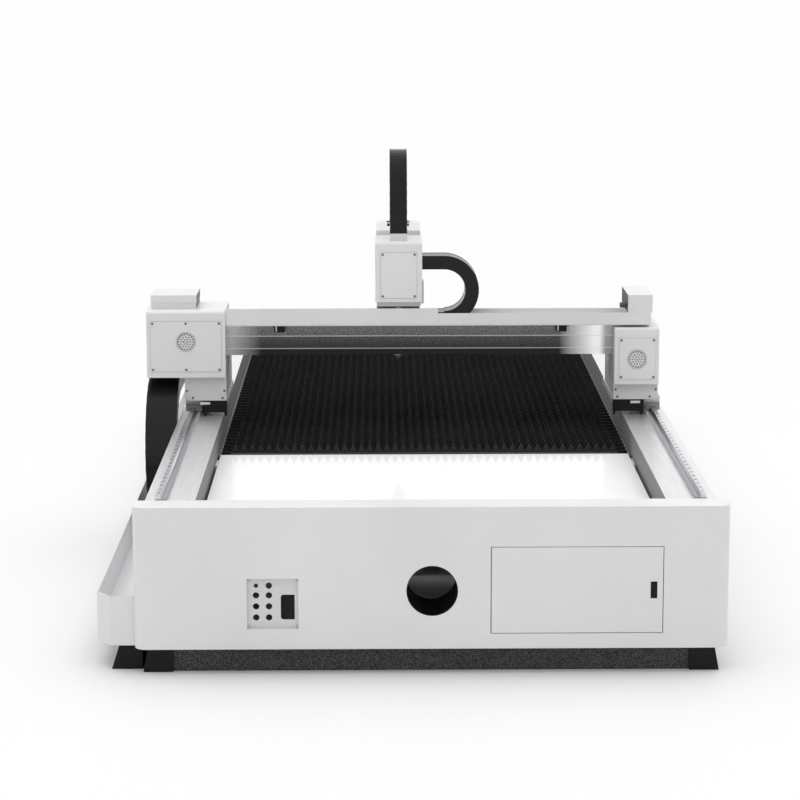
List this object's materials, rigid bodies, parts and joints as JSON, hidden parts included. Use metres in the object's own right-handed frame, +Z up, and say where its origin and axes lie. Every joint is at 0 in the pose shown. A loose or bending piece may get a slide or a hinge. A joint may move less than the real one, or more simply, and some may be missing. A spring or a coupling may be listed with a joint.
{
  "type": "fiber laser cutting machine",
  "caption": "Open-bed laser cutter: slatted bed with a rail-guided gantry, a cross carriage and a cutting head that moves up and down.",
  "frame": {"origin": "on the floor, at the centre of the four anchor holes in the skids", "axes": "+Z up; +Y along the bed, away from the services end; +X to the right as seen from the services end"},
  "size_m": [2.294, 4.9, 1.734],
  "materials": {
    "white_paint": "satin white powder coat",
    "gloss_deck": "glossy white enamel",
    "grey_paint": "light grey paint",
    "machined_steel": "fine milled",
    "bright_steel": "ground",
    "rack_steel": "hobbed, lightly oiled",
    "black_paint": "matt black",
    "dark_strip": "dark grey textured",
    "black_plastic": "moulded black nylon",
    "seal_rubber": "matt",
    "beam_aluminium": "drawn",
    "nozzle_brass": "turned"
  },
  "bodies": {
    "bed": {"left_side_beam": "machined_steel", "right_side_beam": "machined_steel", "cross_beams": "grey_paint", "left_skid": "black_paint", "right_skid": "black_paint", "tray_skid": "black_paint", "plinth_strips": "dark_strip", "services_panel": "white_paint", "far_panel": "white_paint", "exhaust_duct": "dark_strip", "connector_plate": "grey_paint", "deck_plate": "gloss_deck", "slat_supports": "black_paint", "slats": "black_paint", "scrap_hopper": "grey_paint", "bed_rails": "bright_steel", "bed_racks": "rack_steel", "cable_tray": "white_paint", "bed_chain": "black_plastic"},
    "door": {"access_door": "white_paint", "door_pins": "bright_steel", "latch_cup": "black_plastic"},
    "latch": {"latch_paddle": "black_plastic"},
    "gantry": {"gantry_beam": "beam_aluminium", "chain_trough": "white_paint", "left_foot": "grey_paint", "right_foot": "grey_paint", "left_housing": "white_paint", "right_housing": "white_paint", "vent_covers": "white_paint", "left_top_box": "white_paint", "right_top_box": "white_paint", "cable_gland": "black_plastic", "slide_blocks": "machined_steel", "rail_wipers": "seal_rubber", "foot_skirts": "black_plastic", "bed_motors": "black_paint", "limit_sensors": "black_plastic", "cross_rails": "bright_steel", "cross_rack": "rack_steel", "chain_bracket": "grey_paint", "cover_screws": "bright_steel", "cross_chain": "black_plastic"},
    "pinion_left": {"left_pinion": "bright_steel"},
    "pinion_right": {"right_pinion": "bright_steel"},
    "carriage": {"carriage_frame": "machined_steel", "carriage_blocks": "machined_steel", "motor_housing": "white_paint", "motor_cover": "white_paint", "chain_clamp": "grey_paint", "cross_motor": "black_paint", "axis_housing": "white_paint", "axis_motor": "black_paint", "axis_shoes": "machined_steel", "head_chain": "black_plastic"},
    "pinion_cross": {"cross_pinion": "bright_steel"},
    "screw": {"ball_screw": "bright_steel"},
    "head": {"head_slide": "machined_steel", "cutting_head": "beam_aluminium", "nozzle": "nozzle_brass"}
  },
  "joints": [
    {"name": "gantry_slide", "type": "slide", "parent": "bed", "child": "gantry", "axis": [0, 1, 0], "range_m": [-0.65, 2.3], "deforming": ["bed_chain"]},
    {"name": "carriage_slide", "type": "slide", "parent": "gantry", "child": "carriage", "axis": [1, 0, 0], "range_m": [-0.61, 0.79], "deforming": ["cross_chain"]},
    {"name": "head_slide", "type": "slide", "parent": "carriage", "child": "head", "axis": [0, 0, 1], "range_m": [-0.225, 0.025], "deforming": ["head_chain"]},
    {"name": "door_hinge", "type": "hinge", "parent": "bed", "child": "door", "pos_m": [0.223, -2.442, 0.311], "axis": [0, 0, -1], "range_deg": [0, 100]},
    {"name": "latch_pivot", "type": "hinge", "parent": "door", "child": "latch", "pos_m": [0.8005, -2.445, 0.336], "axis": [-1, 0, 0], "range_deg": [0, 30]},
    {"name": "left_pinion_spin", "type": "hinge", "parent": "gantry", "child": "pinion_left", "pos_m": [-0.932, -0.5, 0.614], "axis": [0, 0, 1], "continuous": true},
    {"name": "right_pinion_spin", "type": "hinge", "parent": "gantry", "child": "pinion_right", "pos_m": [0.932, -0.5, 0.614], "axis": [0, 0, 1], "continuous": true},
    {"name": "cross_pinion_spin", "type": "hinge", "parent": "carriage", "child": "pinion_cross", "pos_m": [-0.1035, -0.452, 1.008], "axis": [0, 0, 1], "continuous": true},
    {"name": "screw_spin", "type": "hinge", "parent": "carriage", "child": "screw", "pos_m": [-0.1035, -0.3285, 1.1], "axis": [0, 0, 1], "continuous": true}
  ],
  "couplings": [
    {"joint": "left_pinion_spin", "follows": "gantry_slide", "rad_per_m": 31.25},
    {"joint": "right_pinion_spin", "follows": "gantry_slide", "rad_per_m": -31.25},
    {"joint": "cross_pinion_spin", "follows": "carriage_slide", "rad_per_m": 41.667},
    {"joint": "screw_spin", "follows": "head_slide", "rad_per_m": 314.16}
  ]
}
